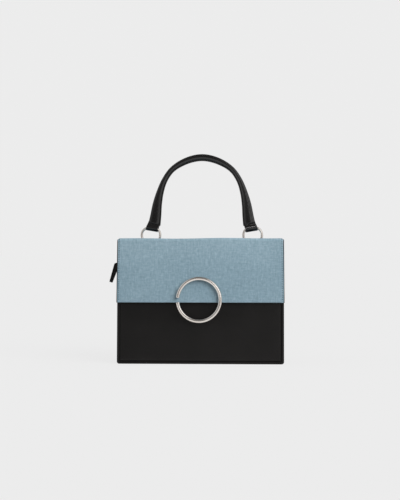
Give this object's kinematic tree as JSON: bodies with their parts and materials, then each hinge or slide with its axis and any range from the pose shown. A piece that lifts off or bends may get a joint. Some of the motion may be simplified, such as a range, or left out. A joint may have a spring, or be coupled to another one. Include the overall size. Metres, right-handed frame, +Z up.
{
  "type": "top-handle flap bag",
  "caption": "Small structured handbag with a black leather body, zipped top, light-blue denim flap with an open metal ring, and a rolled leather handle on D-rings.",
  "frame": {"origin": "middle of the base panel's lower face, on the surface that the bag stands on", "axes": "+Z up along the bag's height, +X to the right seen from the front, +Y from the front panel to the back panel"},
  "size_m": [0.2246, 0.0917, 0.2669],
  "materials": {
    "leather": "smooth black leather with a fine grain and a soft sheen",
    "denim": "light-blue washed denim, matt twill with pale slubs",
    "facing": "dark backing with painted edges",
    "zip_tape": "black woven tape with black teeth",
    "metal": "polished silver-coloured metal"
  },
  "bodies": {
    "bag_body": {"front_panel": "leather", "back_panel": "leather", "base_panel": "leather", "side_gusset_left": "leather", "side_gusset_right": "leather", "zip_strip_front": "leather", "zip_strip_back": "leather", "zip_tape": "zip_tape", "zip_slider": "metal", "zip_pull": "leather", "flap": "denim", "flap_facing": "facing", "front_ring": "metal", "ring_keeper_left": "leather", "ring_keeper_right": "leather"},
    "handle_set": {"handle": "leather", "d_ring_left": "metal", "d_ring_right": "metal"}
  },
  "joints": [
    {"name": "handle_swing", "type": "hinge", "parent": "bag_body", "child": "handle_set", "pos_m": [0, 0, 0.1542], "axis": [1, 0, 0], "range_deg": [-62, 70]}
  ]
}
